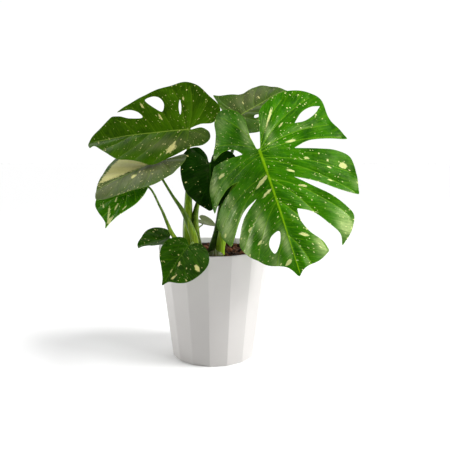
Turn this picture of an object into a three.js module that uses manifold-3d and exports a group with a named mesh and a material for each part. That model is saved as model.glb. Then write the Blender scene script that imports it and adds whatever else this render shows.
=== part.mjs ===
// Potted variegated monstera: a faceted planter, a nursery pot with soil, two short stems and nine leaves.
// Millimetres, +Z up. The planter stands on the floor at the origin and its front faces -Y.
import * as THREE from 'three';
import { mergeVertices } from 'three/addons/utils/BufferGeometryUtils.js';
import Module from 'manifold-3d';

const wasm = await Module();
wasm.setup();

// ---------- driving dimensions ----------
const gap = 0.3; // air left between neighbouring pieces

const planter = {
  facets: 16,
  height: 164,
  rimRadius: 84, // to a corner of the rim
  baseRadius: 64, // to a corner of the foot
  wall: 3,
  floor: 5,
  footChamfer: 1.5,
  turn: -0.07, // radians, so that a corner sits just left of the front
};

const nurseryPot = {
  wall: 1.2,
  lip: 2.4, // how far the rolled rim stands out
  lipHeight: 7,
  belowRim: 8, // rim of the planter down to the rim of this pot
  looseFit: 1.2, // air between the rolled rim and the planter
  taper: 12, // how much narrower it is at the bottom
  holes: 6,
  holeRadius: 5,
};

const soil = { belowLip: 4, looseFit: 0.3 };

const blade = { thickness: 1.4, outlineStep: 10, faceSize: 30 };

const stalkSides = 10;
const stalkStep = 14; // length of one ring of a stalk

// ---------- sizes that follow ----------
const facetShare = Math.cos(Math.PI / planter.facets); // flat to corner
const nurseryFloor = planter.floor + gap;
const nurseryRim = planter.height - planter.belowRim;
const lipZ = planter.height - nurseryPot.belowRim;
const planterRadiusAt = (z) => planter.baseRadius + (planter.rimRadius - planter.baseRadius) * (z / planter.height);
const planterInsideAt = (z) => planterRadiusAt(z) * facetShare - planter.wall;
const lipOuter = planterInsideAt(lipZ - nurseryPot.lipHeight) - nurseryPot.looseFit;
const potTopOuter = lipOuter - nurseryPot.lip;
const potFootOuter = Math.min(potTopOuter - nurseryPot.taper, planterInsideAt(planter.floor) - nurseryPot.looseFit);
const soilTop = lipZ - soil.belowLip;
const soilFloor = nurseryFloor + nurseryPot.wall + soil.looseFit;
const rad = THREE.MathUtils.degToRad;

// ---------- materials ----------
const paint = (color, roughness) => new THREE.MeshStandardMaterial({ color, roughness, metalness: 0 });
const materials = {
  planter: paint('#d9d6d1', 0.55),
  nurseryPot: paint('#1b1a19', 0.6),
  soil: paint('#2c1a0e', 1),
  bark: paint('#5b2f1a', 0.9),
  leafGreen: paint('#1f5a12', 0.35),
  leafDark: paint('#12330e', 0.35),
  stalk: paint('#3f7a1c', 0.4),
  stem: paint('#6d8f2e', 0.5),
};

// ---------- solids ----------
function weld(geometry) {
  const bare = geometry.clone();
  bare.deleteAttribute('normal');
  bare.deleteAttribute('uv');
  const merged = mergeVertices(bare, 1e-4);
  const at = merged.index.array;
  const kept = [];
  for (let i = 0; i < at.length; i += 3) {
    const flat = at[i] === at[i + 1] || at[i + 1] === at[i + 2] || at[i] === at[i + 2];
    if (!flat) kept.push(at[i], at[i + 1], at[i + 2]);
  }
  merged.setIndex(kept);
  return merged;
}

function faceOut(geometry) {
  const p = geometry.getAttribute('position');
  const index = geometry.index.array;
  const corner = [0, 1, 2].map(() => new THREE.Vector3());
  let volume = 0;
  for (let i = 0; i < index.length; i += 3) {
    corner.forEach((c, k) => c.fromBufferAttribute(p, index[i + k]));
    volume += corner[0].dot(corner[1].clone().cross(corner[2]));
  }
  if (volume < 0) {
    for (let i = 0; i < index.length; i += 3) [index[i], index[i + 1]] = [index[i + 1], index[i]];
  }
  return geometry;
}

function solidOf(geometry) {
  const numProp = 3;
  const vertProperties = new Float32Array(geometry.getAttribute('position').array);
  const triVerts = new Uint32Array(geometry.index.array);
  return new wasm.Manifold(new wasm.Mesh({ numProp, vertProperties, triVerts }));
}

function geometryOf(solid) {
  const mesh = solid.getMesh();
  const geometry = new THREE.BufferGeometry();
  geometry.setAttribute('position', new THREE.BufferAttribute(new Float32Array(mesh.vertProperties), 3));
  geometry.setIndex(new THREE.BufferAttribute(new Uint32Array(mesh.triVerts), 1));
  return geometry;
}

const cut = (geometry, tools) => geometryOf(tools.reduce((left, tool) => left.subtract(solidOf(tool)), solidOf(geometry)));

function build(points, faces) {
  const geometry = new THREE.BufferGeometry();
  geometry.setAttribute('position', new THREE.Float32BufferAttribute(points.flat(), 3));
  geometry.setIndex(faces.flat());
  return geometry;
}

// A profile of [radius, z] points turned round Z.
function turned(profile, segments, phase = 0) {
  const outline = profile.map(([r, z]) => new THREE.Vector2(r, z));
  const lathe = new THREE.LatheGeometry(outline, segments, phase);
  lathe.rotateX(Math.PI / 2);
  return faceOut(weld(lathe));
}

// ---------- planter, nursery pot and soil ----------
function planterShell() {
  const { baseRadius, rimRadius, height, wall, floor, footChamfer } = planter;
  const cornerWall = wall / facetShare;
  const inside = (z) => planterRadiusAt(z) - cornerWall;
  const profile = [
    [0, 0],
    [baseRadius - footChamfer, 0],
    [planterRadiusAt(footChamfer), footChamfer],
    [rimRadius, height],
    [inside(height), height],
    [inside(floor), floor],
    [0, floor],
  ];
  return turned(profile, planter.facets, planter.turn);
}

function nurseryPotShell() {
  const { wall, lipHeight, holes, holeRadius } = nurseryPot;
  const lipFoot = lipZ - lipHeight;
  const profile = [
    [0, nurseryFloor],
    [potFootOuter, nurseryFloor],
    [potTopOuter, lipFoot],
    [lipOuter, lipFoot],
    [lipOuter, lipZ],
    [potTopOuter - wall, lipZ],
    [potTopOuter - wall, lipFoot],
    [potFootOuter - wall, nurseryFloor + wall],
    [0, nurseryFloor + wall],
  ];
  const drains = [];
  for (let i = 0; i < holes; i++) {
    const angle = (i / holes) * 2 * Math.PI;
    const drill = new THREE.CylinderGeometry(holeRadius, holeRadius, 4 * wall, 16);
    drill.rotateX(Math.PI / 2);
    drill.translate(Math.cos(angle) * potFootOuter * 0.62, Math.sin(angle) * potFootOuter * 0.62, nurseryFloor + wall / 2);
    drains.push(faceOut(weld(drill)));
  }
  return cut(turned(profile, 48), drains);
}

function soilBody(pockets) {
  const { looseFit } = soil;
  const inset = nurseryPot.wall + looseFit;
  const lipFoot = lipZ - nurseryPot.lipHeight;
  const profile = [
    [0, soilFloor],
    [potFootOuter - inset - 0.3, soilFloor],
    [potTopOuter - inset, lipFoot],
    [potTopOuter - inset, soilTop],
    [0, soilTop],
  ];
  return cut(turned(profile, 48), pockets);
}

// Loose bark lies on the soil: [x, y, length, turn in degrees].
const barkPlaces = [
  [38, -44, 12, 20],
  [22, -56, 10, 75],
  [46, -16, 10, 130],
  [34, 12, 13, 45],
  [6, 36, 10, 160],
  [-50, 24, 12, 100],
  [-56, -14, 9, 60],
  [-6, -60, 11, 110],
];

function barkChip([x, y, length, turn]) {
  const chip = new THREE.IcosahedronGeometry(1, 0);
  chip.scale(length / 2, length / 3.2, length / 6);
  chip.rotateZ(rad(turn));
  chip.computeBoundingBox();
  chip.translate(x, y, soilTop + gap - chip.boundingBox.min.z);
  return faceOut(weld(chip));
}

// ---------- stalks ----------
// A closed tapering tube along a smooth path; radii run evenly from first to last.
function stalk(path, radii, grow = 0) {
  const curve = new THREE.CatmullRomCurve3(path.map((p) => new THREE.Vector3(...p)), false, 'centripetal');
  const rings = Math.max(3, Math.round(curve.getLength() / stalkStep));
  const frames = curve.computeFrenetFrames(rings, false);
  const last = radii.length - 1;
  const points = [];
  const faces = [];
  for (let i = 0; i <= rings; i++) {
    const share = (i / rings) * last;
    const k = Math.min(last - 1, Math.floor(share));
    const radius = THREE.MathUtils.lerp(radii[k], radii[k + 1], share - k) + grow;
    const centre = curve.getPointAt(i / rings);
    if (i === 0) centre.addScaledVector(frames.tangents[0], -grow);
    if (i === rings) centre.addScaledVector(frames.tangents[rings], grow);
    for (let j = 0; j < stalkSides; j++) {
      const angle = (j / stalkSides) * 2 * Math.PI;
      const rim = centre.clone();
      rim.addScaledVector(frames.normals[i], Math.cos(angle) * radius);
      rim.addScaledVector(frames.binormals[i], Math.sin(angle) * radius);
      points.push(rim.toArray());
    }
  }
  for (let i = 0; i < rings; i++) {
    for (let j = 0; j < stalkSides; j++) {
      const a = i * stalkSides + j;
      const b = i * stalkSides + ((j + 1) % stalkSides);
      faces.push([a, b, b + stalkSides], [a, b + stalkSides, a + stalkSides]);
    }
  }
  for (let j = 1; j < stalkSides - 1; j++) {
    const top = rings * stalkSides;
    faces.push([0, j + 1, j], [top, top + j, top + j + 1]);
  }
  return faceOut(build(points, faces));
}

// ---------- leaf blades ----------
// Distance s along a curve that starts at an angle and turns down by bend per mm: [along, up].
function arc(s, start, bend) {
  const k = Math.abs(bend) < 1e-7 ? 1e-7 : bend;
  const end = start - k * s;
  return [(Math.sin(start) - Math.sin(end)) / k, (Math.cos(end) - Math.cos(start)) / k];
}

// A point of the flat leaf, u along the midrib and v to its left, put where the leaf holds it.
function held(leaf, u, v) {
  const droop = (u >= 0 ? leaf.droop : leaf.baseDroop) / 1000;
  const [along, up] = arc(u, 0, droop);
  const side = v >= 0 ? 0 : 1;
  const [across, rise] = arc(Math.abs(v), rad(leaf.fold[side]), leaf.curl[side] / 1000);
  const pitch = -droop * u;
  const x = along - rise * Math.sin(pitch);
  const z = up + rise * Math.cos(pitch);
  const [heading, dip, roll] = leaf.turn.map(rad);
  const point = new THREE.Vector3(x, side ? -across : across, z);
  point.applyEuler(new THREE.Euler(roll, dip, heading, 'ZYX'));
  return point.add(new THREE.Vector3(...leaf.base));
}

function upward(leaf, u, v) {
  const alongLeaf = held(leaf, u + 1, v).sub(held(leaf, u - 1, v));
  const acrossLeaf = held(leaf, u, v + 1).sub(held(leaf, u, v - 1));
  return alongLeaf.cross(acrossLeaf).normalize();
}

// Runs between sharp points (marked 1) are drawn as smooth curves.
function smoothLoop(marks) {
  const first = marks.findIndex((mark) => mark[2] === 1);
  const start = Math.max(first, 0);
  const ring = [...marks.slice(start), ...marks.slice(0, start + (first < 0 ? 0 : 1))];
  const runs = [];
  if (first < 0) {
    runs.push(new THREE.CatmullRomCurve3(ring.map(([u, v]) => new THREE.Vector3(u, v, 0)), true, 'centripetal'));
  } else {
    let run = [];
    for (const [u, v, sharp] of ring) {
      run.push(new THREE.Vector3(u, v, 0));
      if (sharp === 1 && run.length > 1) {
        runs.push(new THREE.CatmullRomCurve3(run, false, 'centripetal'));
        run = [run.at(-1)];
      }
    }
  }
  const loop = [];
  for (const curve of runs) {
    const steps = Math.max(first < 0 ? 8 : 1, Math.round(curve.getLength() / blade.outlineStep));
    for (let i = 0; i < steps; i++) {
      const p = curve.getPointAt(i / steps);
      loop.push(new THREE.Vector2(p.x, p.y));
    }
  }
  return loop;
}

function splitLongEdges(points, faces, limit) {
  const size = (a, b) => points[a].distanceTo(points[b]);
  let current = faces;
  for (;;) {
    let worst = limit;
    let edge = null;
    for (const face of current) {
      for (let k = 0; k < 3; k++) {
        const length = size(face[k], face[(k + 1) % 3]);
        if (length > worst) {
          worst = length;
          edge = [face[k], face[(k + 1) % 3]];
        }
      }
    }
    if (!edge) return current;
    const middle = points.push(points[edge[0]].clone().lerp(points[edge[1]], 0.5)) - 1;
    current = current.flatMap((face) => {
      const k = [0, 1, 2].find((i) => edge.includes(face[i]) && edge.includes(face[(i + 1) % 3]));
      if (k === undefined) return [face];
      const [a, b, c] = [face[k], face[(k + 1) % 3], face[(k + 2) % 3]];
      return [[a, middle, c], [middle, b, c]];
    });
  }
}

function leafBlade(leaf) {
  const outer = smoothLoop(leaf.outline);
  const holes = (leaf.holes ?? []).map(smoothLoop);
  if (THREE.ShapeUtils.isClockWise(outer)) outer.reverse();
  holes.forEach((hole) => {
    if (!THREE.ShapeUtils.isClockWise(hole)) hole.reverse();
  });
  const flat = [...outer, ...holes.flat()];
  const faces = splitLongEdges(flat, THREE.ShapeUtils.triangulateShape(outer, holes), blade.faceSize);
  const count = flat.length;
  const half = blade.thickness / 2;
  const top = flat.map(({ x, y }) => held(leaf, x, y).addScaledVector(upward(leaf, x, y), half).toArray());
  const under = flat.map(({ x, y }) => held(leaf, x, y).addScaledVector(upward(leaf, x, y), -half).toArray());
  const edges = new Set(faces.flatMap(([a, b, c]) => [`${a}_${b}`, `${b}_${c}`, `${c}_${a}`]));
  const walls = [];
  for (const key of edges) {
    const [a, b] = key.split('_').map(Number);
    if (!edges.has(`${b}_${a}`)) walls.push([b, a, a + count], [b, a + count, b + count]);
  }
  const back = faces.map(([a, b, c]) => [a + count, c + count, b + count]);
  return faceOut(build([...top, ...under], [...faces, ...back, ...walls]));
}

// Where a stalk stops, just under the blade, and the way it arrives.
function stalkEnd(leaf, tipRadius, lead) {
  const seat = [3, 0];
  const up = upward(leaf, ...seat);
  const lowSide = Math.max(0, -Math.min(...leaf.fold));
  const stand = blade.thickness / 2 + gap * 2 + tipRadius * Math.tan(rad(lowSide) + leaf.curl[1] / 1000);
  const end = held(leaf, ...seat).addScaledVector(up, -stand);
  const before = end.clone().addScaledVector(up, -lead);
  return [before.toArray(), end.toArray()];
}

// ---------- the plant ----------
// Heights are measured up from the soil, so the plant moves with the pot.
const above = (x, y, height) => [x, y, soilTop + height];
const overRim = (x, out, height) => [x, -(planter.rimRadius + out), planter.height + height];

const leaves = {
  leaf_front_right: {
    base: above(63, -70, 153),
    turn: [-58, 58, 30],
    droop: 1.5,
    baseDroop: 0.5,
    fold: [-4, -22],
    curl: [1.5, 7],
    outline: [
      [-3, 2, 1], [-30, 10], [-58, 18], [-72, 34], [-82, 60], [-78, 90], [-61, 110], [-28, 112], [-6, 120],
      [10, 126, 1], [3, 92], [1, 70], [8, 46, 1], [17, 80], [24, 102], [36, 118], [50, 120], [70, 117],
      [93, 111, 1], [82, 90], [62, 60], [48, 31, 1], [66, 52], [84, 73], [104, 88], [118, 94], [134, 86],
      [153, 65, 1], [138, 67], [120, 57], [100, 42], [90, 22, 1], [108, 22], [124, 29], [140, 42],
      [154, 46, 1], [162, 30], [166, 8], [175, -2, 1], [160, -12], [150, -38], [134, -58], [116, -73], [96, -66],
      [80, -54], [61, -24, 1], [69, -48], [82, -66], [96, -80], [108, -93, 1], [88, -106], [66, -112], [53, -100],
      [38.5, -72], [28, -40, 1], [25.5, -60], [32, -84], [45, -113, 1], [27, -109], [4, -97], [-16, -76, 1],
      [-13, -54], [-5, -23, 1], [-19, -34], [-25, -50], [-23, -72, 1], [-36, -66], [-56, -54], [-76, -49],
      [-85, -36], [-76, -18], [-56, -5], [-28, -6], [-3, -3, 1],
    ],
    holes: [
      [[-49, 106, 1], [-50, 92], [-44, 76], [-28, 59, 1], [-29, 74], [-37, 92]],
      [[112, -9], [116, -22], [126, -28], [138, -24], [124, -12]],
    ],
  },
  leaf_top_left: {
    base: above(-36, -5, 184),
    turn: [179.8, 3, -50],
    droop: 1.5,
    baseDroop: 0.5,
    fold: [2, 24],
    curl: [3, 3],
    outline: [
      [-3, 0, 1], [-20, -3], [-30, 6], [-31, 20], [-20, 31], [-4, 33], [26, 49], [52, 58], [78, 47], [104, 40], [130, 18], [143, 8],
      [148, 12, 1], [152, 2], [146, -8], [132, -19], [112, -35, 1], [100, -33], [86, -27], [66, -26], [72, -35], [84, -41],
      [105, -40, 1], [88, -50], [68, -59], [46, -68], [24, -74], [2, -79], [-14, -73], [-30, -55], [-47, -34],
      [-46, -22], [-36, -10], [-20, -9], [-3, -3, 1],
    ],
    holes: [
      [[62, -54], [50, -58], [40, -54], [34, -43], [37, -32], [46, -37]],
      [[11, -50], [13, -37], [11, -24], [9, -37]],
    ],
  },
  leaf_middle_left: {
    base: above(-79, -21, 138),
    turn: [-164, 18, -27],
    droop: 3,
    baseDroop: 0.5,
    fold: [4, 4],
    curl: [3, 3],
    outline: [
      [-3, 1, 1], [-22, 0], [-40, 2], [-36, 20], [-14, 40], [10, 50], [28, 52], [46, 47], [64, 42], [90, 31],
      [101, 20, 1], [97, 2], [90, -12], [74, -35], [53, -54], [28, -60], [0, -55], [-24, -40], [-34, -22],
      [-24, -8], [-3, -3, 1],
    ],
  },
  leaf_lower_left: {
    base: above(-114, -31, 103),
    turn: [-134, 44, -15],
    droop: 3,
    baseDroop: 0.5,
    fold: [5, 5],
    curl: [3, 3],
    outline: [
      [-3, 1, 1], [-14, 6], [-14, 18], [-4, 27], [12, 29], [30, 24], [46, 12], [57, 6], [64, 3],
      [73, 1, 1], [65, -4], [61, -11], [55, -24], [46, -38], [30, -43], [8, -40], [-10, -30], [-16, -16], [-12, -5], [-3, -2, 1],
    ],
  },
  leaf_centre: {
    base: above(-5, -3, 134),
    turn: [-86, 68, -8],
    droop: 3,
    baseDroop: 0.5,
    fold: [8, 8],
    curl: [3, 3],
    outline: [
      [-3, 1, 1], [-14, 4], [-24, 14], [-21, 30], [-8, 41], [10, 44], [28, 41], [45, 33], [60, 15], [70, 0, 1],
      [60, -18], [45, -35], [28, -42], [10, -44], [-8, -42], [-21, -32], [-25, -17], [-14, -5], [-3, -2, 1],
    ],
  },
  leaf_small_left: {
    base: above(-65, -26, 28),
    turn: [-162, 10, -32],
    droop: 3,
    baseDroop: 0.5,
    fold: [18, 6],
    curl: [3, 3],
    outline: [
      [-2, 1, 1], [-7, 6], [1, 13], [12, 14], [22, 11], [32, 5], [40, 2], [46, 4, 1], [45, -5], [37, -15], [25, -26], [10, -26],
      [-2, -18], [-6, -8], [-2, -1, 1],
    ],
  },
  leaf_over_rim: {
    base: overRim(-31, 3, 16),
    turn: [-129, 37, -17],
    droop: 4,
    baseDroop: 0.5,
    fold: [8, 8],
    curl: [3, 3],
    outline: [
      [-1, 1, 1], [-7, 8], [-6, 20], [2, 33], [18, 43], [34, 41], [48, 33], [55, 20], [58, 5], [66, -1, 1],
      [57, -5], [44, -15], [30, -27], [18, -31], [4, -30], [-6, -19], [-7, -8], [-1, -1, 1],
    ],
  },
  leaf_small_back: {
    base: above(-19, 27, 48),
    turn: [-16, 18, 18],
    droop: 3,
    baseDroop: 0.5,
    fold: [8, 8],
    curl: [3, 3],
    outline: [
      [-1, 1, 1], [-7, 5], [-6, 11], [2, 13], [12, 10], [27, 0, 1], [12, -11], [2, -13], [-6, -11], [-7, -5],
      [-1, -1, 1],
    ],
  },
  leaf_top_back: {
    base: above(41, 70, 210),
    turn: [38, -29.5, 28],
    droop: 1.5,
    baseDroop: 0.5,
    fold: [6, 6],
    curl: [2, 2],
    outline: [
      [-3, 2, 1], [-14, 10], [-10, 28], [0, 48], [12, 72, 1], [22, 60], [40, 40, 1], [56, 37], [78, 40], [94, 35],
      [108, 18], [120, 0, 1], [112, -16], [96, -34], [78, -46, 1], [66, -34], [54, -40], [60, -56, 1], [36, -60],
      [6, -58], [-24, -50], [-33, -30], [-22, -12], [-3, -3, 1],
    ],
    holes: [[[8, -24], [14, -20], [21, -25], [14, -28]]],
  },
};

// Each stalk leaves its stem at a place round the crown and passes through a few points on its way.
const crowns = {
  stem_left: { x: -31, y: -20, radius: 16, ring: 10 },
  stem_right: { x: 4, y: -30, radius: 12.5, ring: 6 },
};
const crownBelow = 14; // depth of a stem in the soil
const crownAbove = 13;
const stalkSeat = 3; // how far above the soil a stalk begins, inside its stem

const stalks = {
  stalk_front_right: {
    stem: 'stem_right', at: 10, leaf: 'leaf_front_right', radii: [5.4, 5, 4, 3.2, 2.6], lead: 20,
    via: [above(13, -27, 30), above(24, -24, 84), above(42, -25, 122)],
  },
  stalk_top_back: {
    stem: 'stem_right', at: 150, leaf: 'leaf_top_back', radii: [4, 3.8, 3, 2.6, 2.2], lead: 20,
    via: [above(6, -15, 36), above(14, 4, 81), above(26, 38, 146)],
  },
  stalk_top_left: {
    stem: 'stem_left', at: 122, leaf: 'leaf_top_left', radii: [5.2, 5, 4.2, 3.2, 2.4], lead: 14,
    via: [above(-38, -11, 28), above(-38, -2, 62), above(-37, 14, 130)],
  },
  stalk_centre: {
    stem: 'stem_left', at: 35, leaf: 'leaf_centre', radii: [3.8, 3.6, 2.8, 2, 1.6], lead: 12,
    via: [above(-26, -13, 27), above(-27, -4, 60), above(-17, 9, 98)],
  },
  stalk_middle_left: {
    stem: 'stem_left', at: 300, leaf: 'leaf_middle_left', radii: [3.6, 3.4, 2.4, 1.8, 1.6], lead: 14,
    via: [above(-27, -29, 26), above(-41, -27, 63), above(-60, -23, 92)],
  },
  stalk_lower_left: {
    stem: 'stem_left', at: 205, leaf: 'leaf_lower_left', radii: [2.6, 2.4, 1.7, 1.5, 1.3], lead: 8,
    via: [above(-57, -31, 32), above(-75, -31, 73), above(-93, -30, 103)],
  },
  stalk_small_left: {
    stem: 'stem_left', at: 168, leaf: 'leaf_small_left', radii: [2, 1.5, 1.2, 1.1], lead: 6,
    via: [above(-54, -15, 18)],
  },
  stalk_over_rim: {
    stem: 'stem_left', at: 252, leaf: 'leaf_over_rim', radii: [2.4, 2, 1.6, 1.4], lead: 7,
    via: [above(-29, -44, 22), overRim(-28, -20, 15)],
  },
  stalk_small_back: {
    stem: 'stem_left', at: 77, leaf: 'leaf_small_back', radii: [1.8, 1.4, 1.1, 1], lead: 6,
    via: [above(-27, 2, 22), above(-23, 14, 37)],
  },
};

function stalkPath({ stem, at, leaf, radii, lead, via }) {
  const { x, y, ring } = crowns[stem];
  const seatX = x + Math.cos(rad(at)) * ring;
  const seatY = y + Math.sin(rad(at)) * ring;
  const rise = [above(seatX, seatY, stalkSeat), above(seatX, seatY, stalkSeat + 8)];
  return [...rise, ...via, ...stalkEnd(leaves[leaf], radii.at(-1), lead)];
}

function stemBody(name, grow = 0) {
  const { x, y, radius } = crowns[name];
  const path = [above(x, y, -crownBelow), above(x, y, 0), above(x, y, crownAbove)];
  return stalk(path, [radius * 0.8, radius, radius * 0.85], grow);
}

// A pale blunt sheath stands in front of the right stem.
function budSheath() {
  const { x, y, radius } = crowns.stem_right;
  const front = y - radius - 4;
  return stalk([above(x - 1, front, gap), above(x - 1, front, 8), above(x, front + 2, 17)], [3.4, 3, 1]);
}

// ---------- assembly ----------
const group = new THREE.Group();
group.name = 'potted_monstera';

function place(name, geometry, material) {
  geometry.computeVertexNormals();
  const mesh = new THREE.Mesh(geometry, material);
  mesh.name = name;
  group.add(mesh);
}

place('planter', planterShell(), materials.planter);
place('nursery_pot', nurseryPotShell(), materials.nurseryPot);
place('soil', soilBody(Object.keys(crowns).map((name) => stemBody(name, gap))), materials.soil);
barkPlaces.forEach((chip, i) => place(`bark_chip_${i + 1}`, barkChip(chip), materials.bark));

for (const name of Object.keys(crowns)) {
  const own = Object.values(stalks).filter((each) => each.stem === name);
  const sockets = own.map((each) => stalk(stalkPath(each), each.radii, gap));
  place(name, cut(stemBody(name), sockets), materials.stem);
}
place('bud_sheath', budSheath(), materials.stem);

for (const [name, each] of Object.entries(stalks)) {
  place(name, stalk(stalkPath(each), each.radii), materials.stalk);
}
for (const [name, leaf] of Object.entries(leaves)) {
  const shaded = name === 'leaf_centre' || name === 'leaf_small_back';
  place(name, leafBlade(leaf), shaded ? materials.leafDark : materials.leafGreen);
}

export default group;
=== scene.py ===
import math
import bpy
import numpy as np
from mathutils import Euler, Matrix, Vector
from mathutils.geometry import delaunay_2d_cdt


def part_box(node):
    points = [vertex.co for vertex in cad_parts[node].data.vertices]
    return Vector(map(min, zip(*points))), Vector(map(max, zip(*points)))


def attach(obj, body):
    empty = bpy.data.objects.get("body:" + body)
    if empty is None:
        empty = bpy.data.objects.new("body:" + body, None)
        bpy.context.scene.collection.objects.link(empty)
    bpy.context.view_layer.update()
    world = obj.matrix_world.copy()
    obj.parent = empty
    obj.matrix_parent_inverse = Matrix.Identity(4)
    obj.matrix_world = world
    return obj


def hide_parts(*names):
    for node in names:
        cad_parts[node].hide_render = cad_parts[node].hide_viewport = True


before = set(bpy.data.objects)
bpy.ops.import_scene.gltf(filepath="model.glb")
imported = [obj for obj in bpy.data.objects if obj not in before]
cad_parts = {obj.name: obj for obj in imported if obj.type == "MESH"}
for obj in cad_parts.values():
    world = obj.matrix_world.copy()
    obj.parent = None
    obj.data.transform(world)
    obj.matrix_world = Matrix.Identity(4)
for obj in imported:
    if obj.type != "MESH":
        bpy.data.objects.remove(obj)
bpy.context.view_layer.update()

mm = 0.001
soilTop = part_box("soil")[1][2]
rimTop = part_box("planter")[1][2]
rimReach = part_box("planter")[1][0]
dice = np.random.default_rng(7)
bpy.ops.object.select_all(action="DESELECT")


def activate(piece):
    bpy.ops.object.select_all(action="DESELECT")
    piece.select_set(True)
    bpy.context.view_layer.objects.active = piece


def applyPlace(piece):
    activate(piece)
    bpy.ops.object.transform_apply(location=True, rotation=True, scale=True)


def applyModifiers(piece):
    activate(piece)
    for modifier in list(piece.modifiers):
        bpy.ops.object.modifier_apply(modifier=modifier.name)


def selectFaces(piece, test):
    for face in piece.data.polygons:
        face.select = False
    for edge in piece.data.edges:
        edge.select = False
    for point in piece.data.vertices:
        point.select = False
    for face in piece.data.polygons:
        face.select = bool(test(face))


def meshPiece(name, points, faces, materials):
    mesh = bpy.data.meshes.new(name)
    mesh.from_pydata([tuple(p) for p in points], [], [tuple(int(i) for i in f) for f in faces])
    mesh.update()
    piece = bpy.data.objects.new(name, mesh)
    bpy.context.scene.collection.objects.link(piece)
    for material in materials:
        mesh.materials.append(material)
    return piece


def settle(piece, slot, *nodes):
    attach(piece, "root")
    if nodes:
        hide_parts(*nodes)


class Shader:   # one material, built node by node
    def __init__(self, name):
        self.material = bpy.data.materials.new(name)
        self.material.use_nodes = True
        self.tree = self.material.node_tree
        self.skin = self.tree.nodes["Principled BSDF"]

    def add(self, kind, **settings):
        node = self.tree.nodes.new("ShaderNode" + kind)
        for key, value in settings.items():
            setattr(node, key, value)
        return node

    def join(self, source, target):
        self.tree.links.new(source, target)

    def put(self, socket, value):
        if isinstance(value, bpy.types.NodeSocket):
            self.join(value, socket)
        else:
            socket.default_value = value

    def math(self, operation, a, b):
        node = self.add("Math", operation=operation)
        self.put(node.inputs[0], a)
        self.put(node.inputs[1], b)
        return node.outputs[0]

    def ramp(self, value, low, high, start=0.0, end=1.0):
        node = self.add("MapRange")
        node.interpolation_type = "SMOOTHSTEP"
        self.put(node.inputs["Value"], value)
        for key, number in (("From Min", low), ("From Max", high), ("To Min", start), ("To Max", end)):
            self.put(node.inputs[key], number)
        return node.outputs["Result"]

    def mix(self, share, a, b):
        node = self.add("Mix", data_type="RGBA")
        self.put(node.inputs["Factor"], share)
        self.put(node.inputs["A"], a)
        self.put(node.inputs["B"], b)
        return node.outputs["Result"]

    def attribute(self, name, output="Fac"):
        return self.add("Attribute", attribute_name=name).outputs[output]

    def place(self):
        return self.add("TexCoord").outputs["Object"]

    def stretch(self, vector, scale):
        node = self.add("Mapping")
        self.put(node.inputs["Vector"], vector)
        node.inputs["Scale"].default_value = scale
        return node.outputs["Vector"]

    def noise(self, vector, scale, detail=3.0, rough=0.55):
        node = self.add("TexNoise")
        self.put(node.inputs["Vector"], vector)
        node.inputs["Scale"].default_value = scale
        node.inputs["Detail"].default_value = detail
        node.inputs["Roughness"].default_value = rough
        return node.outputs["Fac"]

    def cells(self, vector, scale):   # distance to the nearest cell's middle, and two chance numbers for that cell
        node = self.add("TexVoronoi")
        self.put(node.inputs["Vector"], vector)
        node.inputs["Scale"].default_value = scale
        node.inputs["Randomness"].default_value = 1
        chance = self.add("SeparateColor")
        self.join(node.outputs["Color"], chance.inputs[0])
        return node.outputs["Distance"], chance.outputs[0], chance.outputs[1]

    def bump(self, height, strength, distance):
        node = self.add("Bump")
        node.inputs["Strength"].default_value = strength
        node.inputs["Distance"].default_value = distance
        self.put(node.inputs["Height"], height)
        self.join(node.outputs["Normal"], self.skin.inputs["Normal"])

    def colour(self, value):
        self.put(self.skin.inputs["Base Color"], value)

    def gloss(self, roughness, shine=None, tint=None):
        self.put(self.skin.inputs["Roughness"], roughness)
        if shine is not None:
            self.skin.inputs["Specular IOR Level"].default_value = shine
        if tint is not None:
            self.skin.inputs["Specular Tint"].default_value = tint


view = dict(place=(0.0172, -0.7169, 0.2941), tilt=7.815, lens=38.53, film=36, nearest=0.01)
cameraData = bpy.data.cameras.new("camera")
camera = bpy.data.objects.new("camera", cameraData)
bpy.context.scene.collection.objects.link(camera)
camera.location = view["place"]
camera.rotation_euler = (math.radians(90 - view["tilt"]), 0, 0)
cameraData.lens = view["lens"]
cameraData.sensor_width = view["film"]
cameraData.clip_start = view["nearest"]
bpy.context.scene.camera = camera
print("camera set")


planter = dict(
    sides=16, turn=-0.07, rimRadius=0.084, baseRadius=0.064, wall=0.003, floor=0.005,
    edge=0.0009, edgeCuts=3, outsideShaded=(0.505, 0.488, 0.473, 1), outsideLit=(0.545, 0.528, 0.512, 1),
    # the inside tones are painted light: a whiter copy of the outside finish for the inner walls
    insideShaded=(0.9, 0.89, 0.88, 1), insideLit=(0.95, 0.94, 0.93, 1),
)


def satinPlanter(name, shaded, lit):
    shade = Shader(name)
    where = shade.place()
    cloud = shade.noise(where, 18, 3)
    shade.colour(shade.mix(cloud, shaded, lit))
    shade.gloss(shade.ramp(shade.noise(where, 90, 2), 0.3, 0.7, 0.36, 0.46), shine=0.4)
    grain = shade.noise(where, 900, 2)
    ripple = shade.noise(where, 40, 2)
    shade.bump(shade.math("ADD", shade.math("MULTIPLY", grain, 0.25), ripple), 0.12, 0.0006)
    return shade.material


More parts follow.
